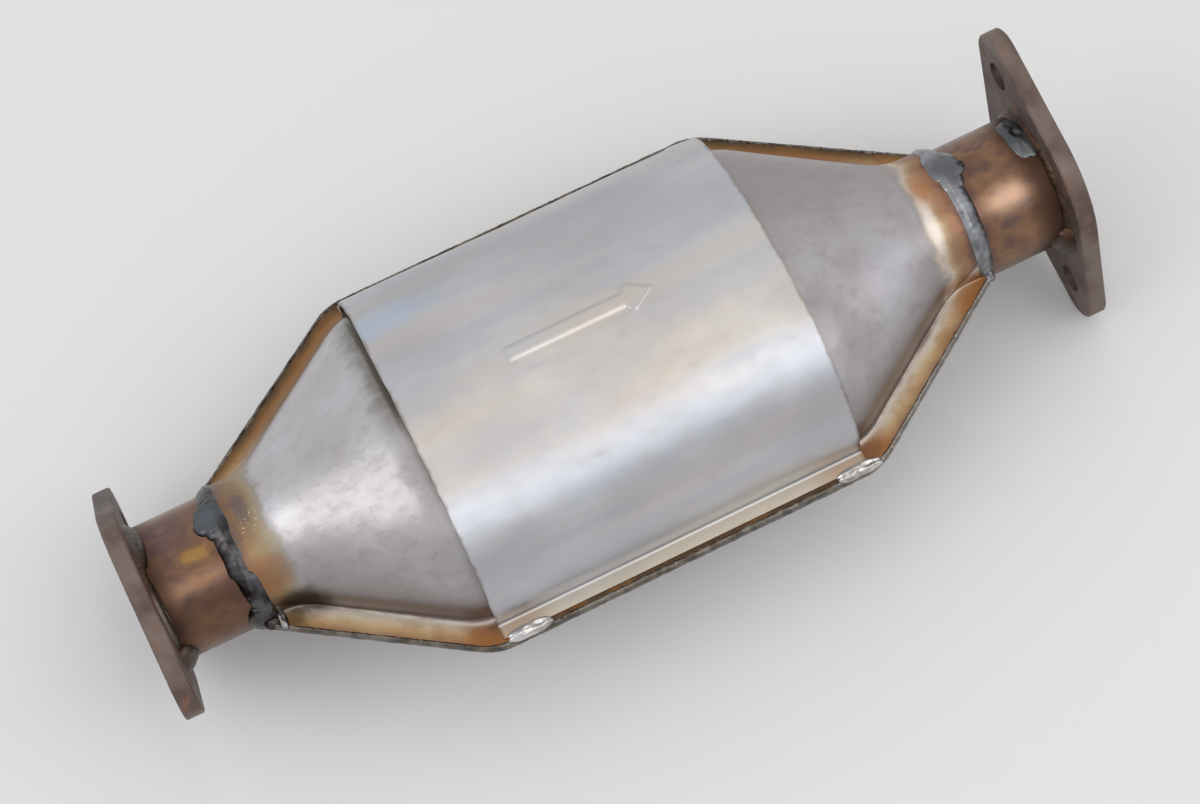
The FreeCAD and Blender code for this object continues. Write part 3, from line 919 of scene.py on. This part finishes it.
# %% The shells' finish
def shell_finish():
    """The bare metal, then the colours of the necks, then those of the seam, then bright specks.
    """
    steel = Finish("shell_steel")
    cloud = steel.noise(26, 2, 1.0)
    mottle = steel.noise(5, 4, 2.0, (1.6, 1, 1), 0.6)
    grain = steel.noise(0.45, 2, 3.0)
    patch = steel.noise(9, 3, 9.0)
    inlet_half = steel.x.ramp(MIDDLE, MIDDLE - 20)
    from_neck_end = (NECK_OUT - MIDDLE) - steel.x.away_from(MIDDLE)
    neck_run = from_neck_end + (cloud - 0.5) * 5.0 + (patch - 0.5) * 11.0 + (mottle - 0.5) * 5.0
    near_neck = neck_run.ramp(18.5, 14.5)
    seam_run = steel.from_edge() + (patch - 0.5) * 3.0
    colour = bare_shell(steel, cloud, mottle, inlet_half)
    colour = neck_colours(steel, colour, neck_run, near_neck, inlet_half)
    colour = seam_colours(steel, colour, seam_run, near_neck)
    specks = steel.noise(0.8, 1, 19.0).ramp(0.66, 0.70)
    colour = steel.stain(colour, paint(222, 214, 204), specks, (47.5, -3.0, 27.5), 8.0, 4.0)
    rough = 0.36 + (cloud - 0.5) * 0.14 + (mottle - 0.5) * 0.20 + near_neck * 0.06
    relief = steel.bump(mottle + grain * 0.3 + patch * 1.5, 0.09)
    return steel.surface(base_color=colour, metallic=1.0, roughness=rough, normal=relief)


shell_steel = shell_finish()

# %% [markdown]
# The shield never gets as hot, so it stays silver.  It is rolled sheet with a fine satin
# grain, light scuffs from handling, and a breath of straw colour on the lips, where the
# tacks were made.  A bluish patch on the far side of the crown is a painted reflection.

# %% The shield's finish
def shield_finish():
    """Silver with faint bands along X, a painted bluish reflection, straw on the lips and dull
    cut ends.
    """
    sheet = Finish("shield_steel")
    cloud = sheet.noise(26, 3, 4.0, (1.6, 1, 1))
    grain = sheet.noise(0.5, 2, 5.0, (3, 1, 1))
    scuff = sheet.noise(5.0, 3, 6.0, (1.6, 1, 1), 0.5)
    dull = sheet.noise(12, 3, 14.0, (2.2, 1, 1))
    bands = sheet.noise(13, 2, 31.0, (6, 1, 1))
    silver = sheet.mix(cloud.ramp(0.3, 0.7), paint(184, 182, 184), paint(200, 200, 203))
    silver = sheet.mix(bands.ramp(0.54, 0.40) * 0.5, silver, paint(182, 186, 195))
    silver = sheet.mix(bands.ramp(0.48, 0.64) * 0.5, silver, paint(200, 193, 186))
    silver = sheet.mix(scuff.ramp(0.55, 0.8) * 0.3, silver, paint(170, 166, 164))
    # Painted reflection: a bluish patch on the far side of the shield's crown.
    silver = sheet.stain(silver, paint(178, 198, 222), 0.5, (116.0, 36.0, 46.0), 17.0, 12.0,
                         (1.6, 0.6, 0.6))
    lip = sheet.from_edge().ramp(5.6, 4.0)
    colour = sheet.mix(lip * 0.8, silver, paint(192, 186, 174))
    from_middle = sheet.x.away_from((SHIELD_FRONT + SHIELD_REAR) / 2)
    by_tacks = from_middle.ramp(SHIELD_HALF_LENGTH - 24, SHIELD_HALF_LENGTH - 10) * lip
    colour = sheet.mix(by_tacks * 0.5, colour, paint(168, 132, 98))
    cut = (from_middle + (scuff - 0.5) * 3.0).ramp(SHIELD_HALF_LENGTH - 1.6, SHIELD_HALF_LENGTH)
    colour = sheet.mix(cut * 0.6, colour, paint(120, 100, 84))
    rough = 0.34 + (cloud - 0.5) * 0.10 + (scuff - 0.5) * 0.16 + (dull - 0.5) * 0.16
    rough = rough.math("MAXIMUM", 0.28)
    relief = sheet.bump(grain * 0.15 + scuff * 0.8 + dull * 2.5, 0.06)
    return sheet.surface(base_color=colour, metallic=1.0, roughness=rough, normal=relief)


shield_steel = shield_finish()

# %% [markdown]
# The pipes were hottest in use.  Their oxide is bronze and violet in soft clouds, with a
# gold flare here and there, and it darkens towards the welds at both ends.  The inlet pipe is
# darker brown low on its near side, and a pale copper spot on the outlet pipe is a painted
# highlight.

# %% The pipes' finish
FLARE, LOW_NEAR_BROWN = paint(178, 138, 76), paint(92, 68, 54)
MAUVE, PIPE_HIGHLIGHT_COPPER = paint(106, 88, 92), paint(190, 156, 132)


def pipe_finish():
    """Clouds of oxide, two stains, a darker brown patch low down, a painted highlight, and darker
    metal towards the flange and the neck.
    """
    tube = Finish("pipe_steel")
    cloud = tube.noise(16, 2, 7.0)
    streak = tube.noise(6, 3, 8.0, (1.6, 1, 1))
    grain = tube.noise(0.5, 2, 9.0)
    colour = tube.colours(cloud * 0.6 + streak * 0.4,
                          [(0.30, paint(84, 66, 64)), (0.41, paint(116, 90, 78)),
                           (0.50, paint(142, 108, 84)), (0.58, paint(112, 90, 84)),
                           (0.66, paint(150, 118, 88)), (0.74, paint(108, 96, 98))])
    colour = tube.stain(colour, FLARE, 0.7, (26.0, -4.0, 25.0), 7.0, 6.0, (1.3, 0.6, 1.0))
    # Darker brown low on the near side of the inlet pipe.
    colour = tube.stain(colour, LOW_NEAR_BROWN, 0.6, (26.0, -22.0, 10.0), 22.0, 10.0)
    colour = tube.stain(colour, MAUVE, 0.6, (20.0, 12.0, 24.0), 17.0, 8.0)
    # Painted highlight: a pale copper spot on the near upper side of the outlet pipe.
    colour = tube.stain(colour, PIPE_HIGHLIGHT_COPPER, 0.7, (340.0, -13.0, 21.5), 10.0, 4.0,
                        (1.2, 0.9, 0.9))
    from_middle = tube.x.away_from(MIDDLE)
    near_flange = from_middle.ramp(MIDDLE - 19, MIDDLE - 8)
    near_neck = from_middle.ramp(NECK_OUT - MIDDLE + 9, NECK_OUT - MIDDLE + 4)
    colour = tube.mix(near_flange * 0.85, colour, paint(70, 50, 41))
    colour = tube.mix(near_neck * 0.5, colour, paint(92, 68, 64))
    rough = 0.27 + (streak - 0.5) * 0.18 + near_flange * 0.2
    relief = tube.bump(grain * 0.6 + streak, 0.06)
    return tube.surface(base_color=colour, metallic=1.0, roughness=rough, normal=relief)


pipe_steel = pipe_finish()

# %% [markdown]
# The flanges are hot-rolled plate.  Mill scale gives them a dark purplish brown, rust sits
# in it in small orange blooms, and the scale is a lighter brown in places.  The inlet flange is
# lighter towards its near tip and darker over its far half.

# %% The flanges' finish
def flange_finish():
    """Mill scale, a lighter and a darker area, browner metal round the pipe, and rust."""
    plate = Finish("flange_plate")
    cloud = plate.noise(16, 3, 11.0)
    bloom = plate.noise(6, 4, 12.0, rough=0.65)
    grit = plate.noise(0.8, 3, 13.0)
    colour = plate.mix(cloud.ramp(0.35, 0.65), paint(88, 70, 63), paint(120, 105, 98))
    colour = plate.stain(colour, paint(128, 121, 115), 0.5, (2.0, -34.0, 6.0), 26.0, 10.0)
    colour = plate.stain(colour, paint(66, 54, 52), 0.8, (2.0, 34.0, -14.0), 56.0, 10.0)
    radius = (plate.y * plate.y + plate.z * plate.z) ** 0.5
    from_pipe = (radius + (bloom - 0.5) * 16).ramp(46.0, 30.0)
    inner = plate.x.away_from(MIDDLE).ramp(MIDDLE - 5.8, MIDDLE - 6.8)
    colour = plate.mix(from_pipe * inner * 0.75, colour, paint(92, 62, 50))
    colour = plate.mix(bloom.ramp(0.57, 0.70) * 0.7, colour, paint(128, 86, 60))
    colour = plate.mix(grit.ramp(0.6, 0.8) * 0.3, colour, paint(60, 48, 44))
    rust = bloom.ramp(0.5, 0.7)
    rough = 0.46 + (grit - 0.5) * 0.25 + rust * 0.2
    relief = plate.bump(grit + bloom * 2.5 + cloud * 3.0, 0.16)
    return plate.surface(base_color=colour, metallic=0.6 - rust * 0.4, roughness=rough,
                         normal=relief)


flange_plate = flange_finish()

# %% [markdown]
# Weld metal.  The bead on the inlet neck has a dark grey slag skin, the one on the outlet
# neck is a paler blue grey, and the fillets on the flanges have browned with the plates.
# The seam beads are a grainy mid grey that turns paler towards the outlet on the right side,
# with painted glints there as bright specks, and the tacks were left bright.

# %% The welds' finishes
def weld_finish(name, dark, light, blotch, rough_level, seed, painted_glint=0.0, pads=()):
    """A bead's metal; each pad is (place, radius, colour) for a stop that looks different.

    One keyword gives the strength of painted glints: bright specks that grow towards the outlet.
    """
    bead = Finish(name)
    cloud = bead.noise(6, 3, seed)
    grit = bead.noise(0.9, 3, seed + 1)
    colour = bead.mix(cloud.ramp(0.38, 0.62), dark, light)
    colour = bead.mix(bead.noise(5, 3, seed + 2).ramp(0.55, 0.68) * 0.6, colour, blotch)
    for place, radius, tone in pads:
        colour = bead.stain(colour, tone, 1.0, place, radius, 3.0)
    if painted_glint:
        outlet_end = bead.x.ramp(MIDDLE + 60, MIDDLE + 80) * 0.7 + 0.3
        right_side = bead.y.ramp(0.0, -25.0)
        colour = bead.mix(outlet_end * right_side * 0.5, colour, paint(146, 140, 134))
        # Painted highlight: bright specks on the grain stand in for glints.
        painted_sparkle = grit.ramp(0.56, 0.70) * outlet_end * painted_glint
        colour = bead.mix(painted_sparkle, colour, paint(226, 224, 220))
    rough = rough_level + (cloud - 0.5) * 0.16 + (grit - 0.5) * 0.1
    relief = bead.bump(grit * 0.4 + cloud, 0.06)
    return bead.surface(base_color=colour, metallic=1.0, roughness=rough, normal=relief)


def on_pipe(x, degrees):
    """A place on the skin of the pipe, at an angle round X."""
    turn = math.radians(degrees)
    return (x, PIPE_RADIUS * math.cos(turn), PIPE_RADIUS * math.sin(turn))


inlet_bead = weld_finish("weld_inlet_neck", paint(52, 48, 47), paint(90, 90, 93),
                         paint(76, 64, 56), 0.30, 15.0,
                         pads=[(on_pipe(35.5, 77), 9.0, paint(96, 102, 108)),
                               (on_pipe(38, 176), 9.0, paint(72, 68, 66))])
outlet_bead = weld_finish("weld_outlet_neck", paint(122, 123, 125), paint(156, 159, 164),
                          paint(104, 94, 86), 0.30, 24.0,
                          pads=[(on_pipe(324, 76), 11.5, paint(104, 106, 109))])
fillet = weld_finish("weld_flange", paint(58, 44, 38), paint(88, 68, 56), paint(74, 52, 40),
                     0.36, 27.0,
                     pads=[(on_pipe(352, 187), 9.0, paint(92, 78, 70)),
                           (on_pipe(10, 66), 12.0, paint(96, 90, 88)),
                           (on_pipe(9, 134), 14.0, paint(112, 104, 96)),
                           (on_pipe(9, 183), 9.0, paint(104, 96, 90))])
bead_seam = weld_finish("weld_seam", paint(70, 63, 56), paint(118, 112, 104),
                        paint(100, 80, 62), 0.34, 18.0, painted_glint=0.5)
bead_stop = weld_finish("weld_stop", paint(86, 89, 92), paint(104, 107, 111),
                        paint(84, 80, 78), 0.3, 34.0)
bead_silver = weld_finish("weld_run_out", paint(104, 104, 108), paint(160, 160, 164),
                          paint(120, 114, 108), 0.26, 29.0)
bead_bright = weld_finish("weld_bright", paint(170, 165, 161), paint(214, 212, 210),
                          paint(132, 122, 114), 0.22, 21.0)

# %% [markdown]
# Inside, where only a glance down a pipe can reach, are the ceramic bricks with a pale
# washcoat, the fibre mats that hold them, and rings of knitted wire at their ends.

# %% The finishes inside
def inner_finish(name, first, second, size, depth, **shader):
    """Matt stuff of two colours, with grains of that size and a relief of that depth."""
    stuff = Finish(name)
    cloud = stuff.noise(size * 8, 2, 30.0)
    grit = stuff.noise(size, 3, 31.0)
    colour = stuff.mix(cloud * 0.5 + grit * 0.5, first, second)
    return stuff.surface(base_color=colour, roughness=0.75 + (grit - 0.5) * 0.2,
                         normal=stuff.bump(grit, depth), **shader)


ceramic = inner_finish("washcoat", paint(173, 161, 135), paint(196, 188, 166), 0.6, 0.05)
fibre = inner_finish("fibre_mat", paint(181, 177, 165), paint(205, 204, 196), 1.2, 0.2)
knit = inner_finish("wire_knit", paint(106, 103, 97), paint(149, 145, 140), 0.9, 0.3,
                    metallic=0.9)

# %% [markdown]
# Each redrawn piece takes one finish.  What stays as the solid made it, the tubes, plates and
# everything inside, is told apart by the end of its name.

# %% Put the finishes on
def dress(piece, material):
    """One finish for the whole piece."""
    piece.data.materials.clear()
    piece.data.materials.append(material)


for piece in (upper_shell, lower_shell):
    dress(piece, shell_steel)
dress(shield, shield_steel)
dress(inlet_neck_weld, inlet_bead)
dress(outlet_neck_weld, outlet_bead)
for piece in (inlet_flange_weld, outlet_flange_weld):
    dress(piece, fillet)
for piece in (left_seam_weld, right_seam_weld):
    dress(piece, bead_seam)
for piece in tacks:
    dress(piece, bead_bright)
dress(stop, bead_stop)
for piece in run_outs:
    dress(piece, inlet_bead if "bridge" in piece.name else bead_silver)
SOLID_FINISHES = {"pipe": pipe_steel, "flange": flange_plate, "brick": ceramic,
                  "mat": fibre, "seal": knit}
dressed = 0
for name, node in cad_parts.items():
    for word, material in SOLID_FINISHES.items():
        if name.endswith(word):
            dress(node, material)
            dressed += 1
print("solids dressed as they are:", dressed)

# %% [markdown]
# The table.  The part lies on a pale table, which is one big face at the lowest point of the
# solids, so that shadows fall where the part would touch it.

# %% Table
scene = bpy.context.scene
scene.view_settings.view_transform = "Standard"
TABLE_REACH = 4.0           # metres from the middle to a side
corners = [(x * TABLE_REACH, y * TABLE_REACH, cad_low.z)
           for x, y in ((-1, -1), (1, -1), (1, 1), (-1, 1))]
table_mesh = bpy.data.meshes.new("table")
table_mesh.from_pydata(corners, [], [(0, 1, 2, 3)])
floor = bpy.data.objects.new("table", table_mesh)
scene.collection.objects.link(floor)
dress(floor, Finish("table_top").surface(base_color=paint(225, 225, 225), roughness=0.7))

# %% [markdown]
# The camera looks down on the part from its right side, with a long lens that flattens the
# perspective, and is rolled so that the part runs uphill across the picture.

# %% Camera
CAMERA_PLACE = (0.06063, -0.48434, 0.99751)     # metres
CAMERA_TARGET = (0.17847, -0.00614, 0.0)
CAMERA_ROLL = -12.98                            # degrees
LENS, SENSOR_WIDTH = 93.35, 36.0                # millimetres


def look_at(thing, place, target, roll=0.0):
    """Stand a lamp or camera at a place, in metres, aimed at a target and rolled in degrees."""
    thing.location = place
    aim = (Vector(target) - Vector(place)).to_track_quat("-Z", "Y")
    thing.rotation_mode = "QUATERNION"
    thing.rotation_quaternion = aim @ Quaternion((0, 0, 1), math.radians(roll))


camera = bpy.data.objects.new("camera", bpy.data.cameras.new("camera"))
scene.collection.objects.link(camera)
scene.camera = camera
camera.data.sensor_width = SENSOR_WIDTH
camera.data.lens = LENS
look_at(camera, CAMERA_PLACE, CAMERA_TARGET, CAMERA_ROLL)
print("camera to target:", round((camera.location - Vector(CAMERA_TARGET)).length, 3), "m")

# %% [markdown]
# The light.  Bare metal shows what stands round it, so it needs something soft to reflect.  A
# long warm strip hangs over the part and draws a streak along the shield.  A wide neutral
# lamp leans in from the right side, and one smaller lamp stands off each end.

# %% Lamps
LAMPS = {   # place and size in metres, brightness of the face, colour
    "overhead": ((0.36, 0.01, 1.7), (1.5, 0.20), 1.45, (1.0, 0.78, 0.46)),
    "right_side": ((0.45, -1.02, 1.52), (1.4, 0.86), 1.04, (0.97, 0.985, 1.0)),
    "inlet_end": ((-1.15, -0.1, 1.25), (1.0, 0.7), 1.65, (1.0, 0.99, 0.98)),
    "outlet_end": ((1.35, -0.75, 1.0), (0.7, 0.6), 1.35, (0.98, 0.98, 1.0)),
}


def soft_light(name, place, size, strength, colour):
    """An area lamp; strength is the brightness of its face, where 1 is white.

    A face of brightness 1 gives off pi watts for each square metre.
    """
    lamp = bpy.data.lights.new(name, "AREA")
    lamp.shape = "RECTANGLE"
    lamp.size, lamp.size_y = size
    lamp.energy = strength * math.pi * size[0] * size[1]
    lamp.color = colour
    holder = bpy.data.objects.new(name, lamp)
    scene.collection.objects.link(holder)
    look_at(holder, place, (MIDDLE * MM, 0, 0))
    print(f"{name}: {lamp.energy:.2f} W")


for name, facts in LAMPS.items():
    soft_light(name, *facts)

# %% [markdown]
# The room.  A pale room fills in the rest of the light.  It is a little darker low on the
# right side, so that the lower part of the shield doesn't glare.  The world's node tree is a
# finish like any other, and its directions take the place of positions.

# %% Room
PALE_AIR, DIM_AIR = (0.98, 0.985, 1.0, 1.0), (0.80, 0.80, 0.83, 1.0)
ROOM_STRENGTH = 0.84
world = bpy.data.worlds.new("room")
scene.world = world
world.use_nodes = True
room = Finish("room", world.node_tree)
direction = room.node("ShaderNodeTexCoord", output="Generated")
split = room.node("ShaderNodeSeparateXYZ", None, {"Vector": direction})
toward = [Wire(room, out) for out in split.socket.node.outputs]
low_right = toward[Y].ramp(-0.2, -1.0) * toward[Z].ramp(0.85, 0.35)
shade = room.mix(low_right, PALE_AIR, DIM_AIR)
sky = room.node("ShaderNodeBackground", None, {"Color": shade, "Strength": ROOM_STRENGTH})
room.node("ShaderNodeOutputWorld", None, {"Surface": sky})
print("room:", len(world.node_tree.nodes), "nodes")
